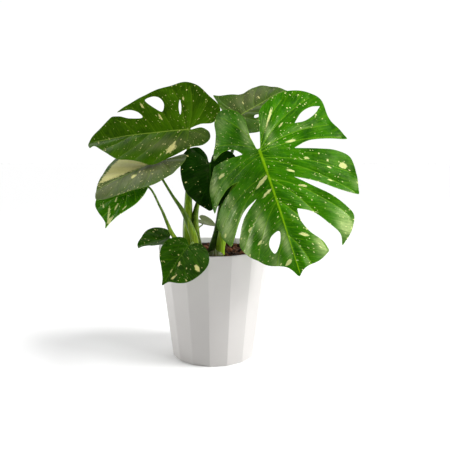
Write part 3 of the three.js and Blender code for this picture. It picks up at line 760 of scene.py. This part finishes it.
def fillBlade(leaf):
    spacing = blade["spacing"]
    loops = [roundCorners(smoothLoop(leaf["outline"], spacing))]
    loops += [roundCorners(smoothLoop(hole, spacing * 0.8), 1) for hole in leaf.get("holes", [])]
    low, high = loops[0].min(0), loops[0].max(0)
    rows = np.arange(low[1], high[1], spacing * 0.866)
    grid = []
    for k, row in enumerate(rows):
        places = np.arange(low[0] + (k % 2) * spacing / 2, high[0], spacing)
        grid.append(np.column_stack([places, np.full(len(places), row)]))
    grid = np.vstack(grid)
    grid = grid[np.abs(grid[:, 1]) > 0.55 * spacing]
    rib = np.arange(0, leaf["ribEnd"], spacing)
    grid = np.vstack([grid, np.column_stack([rib, np.zeros(len(rib))])])
    keep = insideLoop(grid, loops[0])
    for hole in loops[1:]:
        keep &= ~insideLoop(grid, hole)
    grid = grid[keep]
    for loop in loops:
        grid = grid[distanceToLine(grid, np.vstack([loop, loop[:1]])) > 0.6 * spacing]
    points = np.vstack(loops + [grid])
    edges, start = [], 0
    for loop in loops:
        n = len(loop)
        edges += [(start + i, start + (i + 1) % n) for i in range(n)]
        start += n
    flat, _, faces, _, _, _ = delaunay_2d_cdt([Vector(p) for p in points.tolist()], edges, [], 0, 1e-5, False)
    flat = np.array([tuple(p) for p in flat])
    faces = np.array([f for f in faces if len(f) == 3])
    centres = flat[faces].mean(1)
    inside = insideLoop(centres, loops[0])
    for hole in loops[1:]:
        inside &= ~insideLoop(centres, hole)
    faces = faces[inside]
    a, b, c = (flat[faces[:, k]] for k in range(3))
    flip = np.cross(b - a, c - a) < 0
    faces[flip] = faces[flip][:, ::-1]
    return flat, faces, loops


def makeLeaf(name, leaf):
    flat, faces, loops = fillBlade(leaf)
    u, v = flat[:, 0], flat[:, 1]
    veinDist = np.full(len(flat), 99.0)
    for start, endU, endV in leaf["veins"]:
        veinDist = np.minimum(veinDist, distanceToLine(flat, veinLine(start, endU, endV)))
    margin = np.full(len(flat), 99.0)
    for loop in loops:
        margin = np.minimum(margin, distanceToLine(flat, np.vstack([loop, loop[:1]])))
    across, along = flowPlace(u, v)
    share = np.clip(u / leaf["ribEnd"], 0, 1)
    ribWidth = leaf["rib"][0] * (1 - share) + leaf["rib"][1] * share
    ribBody = np.exp(-((v / ribWidth) ** 2)) * np.clip((u + 3) / 3, 0, 1)
    ribBody *= np.clip((leaf["ribEnd"] + 4 - u) / 8, 0, 1)
    cream = np.zeros(len(flat))
    for patchU, patchV, length, width, *angle in leaf["patches"]:
        if angle:   # this one keeps its own direction instead of following the side veins
            turn = math.radians(angle[0])
            aheadOf = (u - patchU) * math.cos(turn) + (v - patchV) * math.sin(turn)
            besideOf = (v - patchV) * math.cos(turn) - (u - patchU) * math.sin(turn)
            cream = np.maximum(cream, np.exp(-0.8 * ((aheadOf / length) ** 2 + (besideOf / width) ** 2)))
            continue
        q, p = flowPlace(np.array([patchU]), np.array([patchV]))
        near = ((across - q) / width) ** 2 + ((along - p) / length) ** 2
        cream = np.maximum(cream, np.where(v * patchV >= 0, np.exp(-0.8 * near), 0))
    if "cream" in leaf:
        area = np.array(leaf["cream"], float)
        edge = distanceToLine(flat, np.vstack([area, area[:1]]))
        cream = np.maximum(cream, np.clip(0.6 + np.where(insideLoop(flat, area), edge, -edge) * 0.09, 0, 1.2))
    # painted highlight: the sheen list sets where a paler colour is painted into the blade
    paintedSheen = np.zeros(len(flat))
    for atU, atV, length, width, most in leaf.get("paintedSheen", []):
        near = ((u - atU) / length) ** 2 + ((v - atV) / width) ** 2
        paintedSheen = np.maximum(paintedSheen, most * np.exp(-1.2 * near))
    away = np.minimum(veinDist, np.abs(v))
    size = min(1.0, leaf["ribEnd"] / blade["fullSize"]) * leaf.get("relief", 1.0)
    lift = blade["puff"] * size * (1 - np.exp(-((away / blade["puffReach"]) ** 2)))
    lift -= blade["groove"] * size * np.exp(-((veinDist / blade["grooveWidth"]) ** 2))
    lift += blade["rib"] * size * ribBody
    lift -= blade["trough"] * size * np.exp(-((v / blade["troughWidth"]) ** 2))
    ripple = np.sin(u / 13 + 1) * np.sin(v / 17 + 2) + 0.5 * np.sin(across / 5) * np.clip(along / 40, 0, 1)
    lift += blade["wave"] * size * ripple
    piece = meshPiece(name + "Leaf", holdLeaf(leaf, u, v, lift), faces, [skins[leaf["look"]], backs[leaf["look"]]])
    mesh = piece.data
    lines = np.minimum(veinDist, margin + 0.45)   # the margin shows as one more thin pale line
    midrib = ribBody * (0.5 if "ribless" in leaf else 1)
    for label, values in (("veinDist", lines), ("midrib", midrib), ("cream", cream), ("paintedSheen", paintedSheen)):
        mesh.attributes.new(label, "FLOAT", "POINT").data.foreach_set("value", values.astype(np.float32))
    shift = blade["patternStep"] * (1 + list(leaves).index(name))   # no two leaves share their flecks
    flatAt = np.column_stack([u + shift, v, np.zeros(len(u))])
    flowAt = np.column_stack([across + shift, along, np.where(v >= 0, 40.0, 0.0)])
    for label, values in (("flat", flatAt), ("flow", flowAt)):
        values = values.astype(np.float32).ravel()
        mesh.attributes.new(label, "FLOAT_VECTOR", "POINT").data.foreach_set("vector", values)
    shell = piece.modifiers.new("thickness", "SOLIDIFY")
    shell.thickness = blade["thickness"] * mm
    shell.offset = 0
    shell.use_even_offset = False
    shell.material_offset = 1
    shell.material_offset_rim = 0
    applyModifiers(piece)
    activate(piece)
    bpy.ops.object.shade_smooth_by_angle(angle=math.radians(55))
    settle(piece, leaf.get("slot", "variegated_leaf"), leaf["node"])


for leafName, leafPlan in leaves.items():
    makeLeaf(leafName, leafPlan)
    print(leafName, "leaf made")


def stalkSkin():
    shade = Shader("stalk_skin")
    where = shade.place()
    height = shade.add("SeparateXYZ")
    shade.join(where, height.inputs[0])
    rise = shade.math("SUBTRACT", height.outputs["Z"], soilTop)
    fibre = shade.noise(shade.stretch(where, (1, 1, 0.05)), 420, 4, 0.6)
    low = shade.mix(shade.ramp(fibre, 0.35, 0.7), (0.2, 0.4, 0.004, 1), (0.5, 0.68, 0.05, 1))
    high = shade.mix(shade.ramp(fibre, 0.35, 0.7), (0.08, 0.19, 0.003, 1), (0.2, 0.36, 0.012, 1))
    bright = shade.mix(shade.ramp(rise, 0.03, 0.1), low, high)
    dark = shade.mix(shade.ramp(fibre, 0.35, 0.7), (0.016, 0.05, 0.001, 1), (0.05, 0.11, 0.003, 1))
    # the tone attribute mixes the dark and bright greens; it carries painted light, lighter on each stalk's side
    # toward the key lamp
    edge = shade.ramp(shade.math("ADD", shade.attribute("tone"), shade.math("MULTIPLY", fibre, 0.15)), 0.2, 0.9)
    green = shade.mix(edge, dark, bright)
    spots = shade.noise(where, 260, 3)
    shade.colour(shade.mix(shade.ramp(spots, 0.66, 0.72, 0.0, 0.5), green, (0.3, 0.42, 0.1, 1)))
    shade.gloss(0.36, shine=0.22)
    shade.bump(fibre, 0.25, 0.0005)
    return shade.material


def stemSkin():
    shade = Shader("stem_skin")
    where = shade.place()
    fibre = shade.noise(shade.stretch(where, (1, 1, 0.12)), 380, 4, 0.6)
    green = shade.mix(shade.ramp(fibre, 0.3, 0.7), (0.035, 0.06, 0.006, 1), (0.11, 0.15, 0.02, 1))
    brown = shade.noise(where, 120, 4)
    shade.colour(shade.mix(shade.ramp(brown, 0.42, 0.62, 0.0, 0.85), green, (0.075, 0.045, 0.018, 1)))
    shade.gloss(0.5)
    shade.bump(fibre, 0.5, 0.0008)
    return shade.material


crowns = {
    "left": dict(node="stem_left", x=-31, y=-20, radius=16, ring=10, below=14, above=13),
    "right": dict(node="stem_right", x=4, y=-30, radius=12.5, ring=6, below=14, above=13),
}
# tone sets how light each stalk's green is; split paints light onto the side facing right and front, toward the key
# lamp; foot lightens the lowest part
stalks = {
    "frontRight": dict(
        node="stalk_front_right", tone=0.66, split=0.3, sheath=0.3,
        crown="right", at=10, radii=(5.4, 5, 4, 3.2, 2.6), lead=20,
        via=[above(13, -27, 30), above(24, -24, 84), above(42, -25, 122)],
    ),
    "topBack": dict(
        node="stalk_top_back", tone=0.08, split=0.25, sheath=0.5,
        crown="right", at=150, radii=(4, 3.8, 3, 2.6, 2.2), lead=20,
        via=[above(6, -15, 36), above(14, 4, 81), above(26, 38, 146)],
    ),
    "topLeft": dict(
        node="stalk_top_left", tone=0.6, split=1.1, sheath=0.55,
        crown="left", at=122, radii=(5.2, 5, 4.2, 3.2, 2.4), lead=14,
        via=[above(-38, -11, 28), above(-38, -2, 62), above(-37, 14, 130)],
    ),
    "centre": dict(
        node="stalk_centre", tone=0.22, split=0.6, sheath=0.95,
        crown="left", at=35, radii=(3.8, 3.6, 2.8, 2, 1.6), lead=12,
        via=[above(-26, -13, 27), above(-27, -4, 60), above(-17, 9, 98)],
    ),
    "middleLeft": dict(
        node="stalk_middle_left", tone=0.3, split=0.3, foot=0.6, sheath=0.7,
        crown="left", at=300, radii=(3.6, 3.4, 2.4, 1.8, 1.6), lead=14,
        via=[above(-27, -29, 26), above(-41, -27, 63), above(-60, -23, 92)],
    ),
    "lowerLeft": dict(
        node="stalk_lower_left", tone=0.26, split=0.3, foot=0.5, sheath=0.4,
        crown="left", at=205, radii=(2.6, 2.4, 1.7, 1.5, 1.3), lead=8,
        via=[above(-57, -31, 32), above(-75, -31, 73), above(-93, -30, 103)],
    ),
    "smallLeft": dict(
        node="stalk_small_left", tone=0.6,
        crown="left", at=168, radii=(2, 1.5, 1.2, 1.1), lead=6, via=[above(-54, -15, 18)],
    ),
    "overRim": dict(
        node="stalk_over_rim", tone=0.5, crown="left", at=252, radii=(2.4, 2, 1.6, 1.4), lead=7,
        via=[above(-29, -44, 22), overRim(-28, -20, 15)],
    ),
    "smallBack": dict(
        node="stalk_small_back", crown="left", at=77, radii=(1.8, 1.4, 1.1, 1), lead=6,
        via=[above(-27, 2, 22), above(-23, 14, 37)],
    ),
}
stalkSpacing = 0.0025
ringSpacing = 0.0008
girths = dict(sheath=0.12, sheathEnd=0.62, knee=0.3, kneeAt=0.94, kneeLength=0.035)   # shares of the stalk


def growTube(name, path, radii, material, swell=None, spacing=stalkSpacing):
    line = smoothRun(path, spacing)
    curve = bpy.data.curves.new(name, "CURVE")
    curve.dimensions = "3D"
    curve.bevel_depth = mm
    curve.bevel_resolution = 5
    curve.use_fill_caps = True
    spline = curve.splines.new("POLY")
    spline.points.add(len(line) - 1)
    for i, place in enumerate(line):
        share = i / (len(line) - 1)
        radius = np.interp(share, np.linspace(0, 1, len(radii)), radii)
        if swell:
            radius *= swell(share, i)
        spline.points[i].co = (*place, 1)
        spline.points[i].radius = radius
    piece = bpy.data.objects.new(name, curve)
    bpy.context.scene.collection.objects.link(piece)
    activate(piece)
    bpy.ops.object.convert(target="MESH")
    piece = bpy.context.active_object
    bpy.ops.object.mode_set(mode="EDIT")
    bpy.ops.mesh.select_all(action="SELECT")
    bpy.ops.mesh.remove_doubles(threshold=0.00001)
    bpy.ops.mesh.normals_make_consistent(inside=False)
    bpy.ops.object.mode_set(mode="OBJECT")
    for face in piece.data.polygons:
        face.use_smooth = True
    piece.data.materials.clear()
    piece.data.materials.append(material)
    return piece


def makeStalk(name, stalk, material):
    crown, leaf = crowns[stalk["crown"]], leaves[name]
    angle = math.radians(stalk["at"])
    seatX = crown["x"] + math.cos(angle) * crown["ring"]
    seatY = crown["y"] + math.sin(angle) * crown["ring"]
    seat = np.array([3.0]), np.array([0.0])
    middle, under = holdLeaf(leaf, *seat), holdLeaf(leaf, *seat, -1.0)
    down = (under - middle)[0] / np.linalg.norm(under - middle)
    end = middle[0] + down * (0.45 + 0.3 * stalk["radii"][-1]) * mm
    path = [above(seatX, seatY, 3), above(seatX, seatY, 11), *stalk["via"]]
    path += [tuple(end + down * stalk["lead"] * mm), tuple(end)]
    sheath = stalk.get("sheath", girths["sheath"])

    def girth(share, i):   # a wide sheath low down and a thicker knee just under the leaf
        knee = girths["knee"] * math.exp(-(((share - girths["kneeAt"]) / girths["kneeLength"]) ** 2))
        return 1 + sheath * (1 - min(1, share / girths["sheathEnd"]) ** 2) + knee

    piece = growTube(name + "Stalk", path, stalk["radii"], material, girth)
    # painted light: the side of the stalk facing right and front, toward the key lamp, gets a lighter tone
    paintedLitSide = np.array([point.normal.x * 0.5 - point.normal.y * 0.25 for point in piece.data.vertices])
    rise = np.array([point.co.z - soilTop for point in piece.data.vertices])
    foot = stalk.get("foot", 0.0) * np.clip(1 - rise / 0.06, 0, 1)
    tones = np.clip(stalk.get("tone", 0.5) + stalk.get("split", 0.0) * paintedLitSide + foot, 0, 1)
    piece.data.attributes.new("tone", "FLOAT", "POINT").data.foreach_set("value", tones.astype(np.float32))
    settle(piece, "green_stalk", stalk["node"])


def makeStems(material):
    for name, crown in crowns.items():
        x, y, radius = crown["x"], crown["y"], crown["radius"]
        path = [above(x, y, -crown["below"]), above(x, y, 0), above(x, y, crown["above"] - 1)]

        def rings(share, i):   # old leaf scars below, a rounded head above
            head = math.sqrt(max(0.02, 1 - (max(0, share - 0.72) / 0.285) ** 2))
            return (1 + 0.035 * math.sin(i * 1.1)) * head

        radii = (0.8 * radius, radius, 0.9 * radius)
        stem = growTube(name + "Stem", path, radii, material, rings, ringSpacing)
        settle(stem, "pale_stem", crown["node"])
    low, high = (Vector(corner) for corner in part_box("bud_sheath"))
    x, y = (low.x + high.x) / 2, (low.y + high.y) / 2
    path = [(x, y, low.z), (x - 0.0005, y - 0.0005, low.z + 0.008), (x + 0.0005, y + 0.0015, high.z - 0.0005)]
    settle(growTube("budSheath", path, (3.3, 3.2, 2.2, 0.5), material), "pale_stem", "bud_sheath")


stalkMaterial = stalkSkin()
for stalkName, stalkPlan in stalks.items():
    makeStalk(stalkName, stalkPlan, stalkMaterial)
makeStems(stemSkin())
print("stems and stalks made")


def paleFloor():
    shade = Shader("pale_floor")
    shade.colour((0.9, 0.9, 0.9, 1))
    shade.gloss(0.7)
    return shade.material


studio = dict(floor=60, front=0.12, back=1.02, fadeFrom=-0.1, fadeTo=0.6)


def setStage():
    bpy.ops.mesh.primitive_plane_add(size=studio["floor"], location=(0, 0, 0))
    floor = bpy.context.active_object
    floor.name = "floor"
    floor.data.materials.append(paleFloor())
    world = bpy.data.worlds.new("studio")
    world.use_nodes = True
    tree = world.node_tree
    way = tree.nodes.new("ShaderNodeTexCoord")
    split = tree.nodes.new("ShaderNodeSeparateXYZ")
    tree.links.new(way.outputs["Generated"], split.inputs[0])
    fade = tree.nodes.new("ShaderNodeMapRange")   # the backdrop behind is the bright side
    fade.interpolation_type = "SMOOTHSTEP"
    fadeInputs = {"From Min": "fadeFrom", "From Max": "fadeTo", "To Min": "front", "To Max": "back"}
    for key, number in fadeInputs.items():
        fade.inputs[key].default_value = studio[number]
    tree.links.new(split.outputs["Y"], fade.inputs["Value"])
    seen = tree.nodes.new("ShaderNodeLightPath")   # what is seen past the floor is white on every side
    brighter = tree.nodes.new("ShaderNodeMath")
    brighter.operation = "MAXIMUM"
    tree.links.new(fade.outputs["Result"], brighter.inputs[0])
    tree.links.new(seen.outputs["Is Camera Ray"], brighter.inputs[1])
    tree.links.new(brighter.outputs[0], tree.nodes["Background"].inputs["Strength"])
    tree.nodes["Background"].inputs["Color"].default_value = (1, 1, 1, 1)
    bpy.context.scene.world = world
    bpy.context.scene.view_settings.view_transform = "Standard"


lamps = {
    "key": dict(kind="SUN", place=(1.0, -0.15, 0.88), power=3.85, angle=28),
    "leftGloss": dict(kind="AREA", place=(-1.15, 0.1, 0.3), power=6.2, size=0.3),
    "topGloss": dict(kind="AREA", place=(-0.62, 0.35, 1.2), power=2.5, size=0.4),
    "front": dict(kind="AREA", place=(0.95, -0.72, 0.85), power=5, size=0.25),
}


def hangLamps():
    aim = Vector((0, 0, 0.2))
    for name, lamp in lamps.items():
        data = bpy.data.lights.new(name, lamp["kind"])
        data.energy = lamp["power"]
        if lamp["kind"] == "SUN":
            data.angle = math.radians(lamp["angle"])
        else:
            data.size = lamp["size"]
        piece = bpy.data.objects.new(name, data)
        bpy.context.scene.collection.objects.link(piece)
        piece.location = lamp["place"]
        piece.rotation_euler = (aim - Vector(lamp["place"])).to_track_quat("-Z", "Y").to_euler()


setStage()
hangLamps()
print("floor and light set")
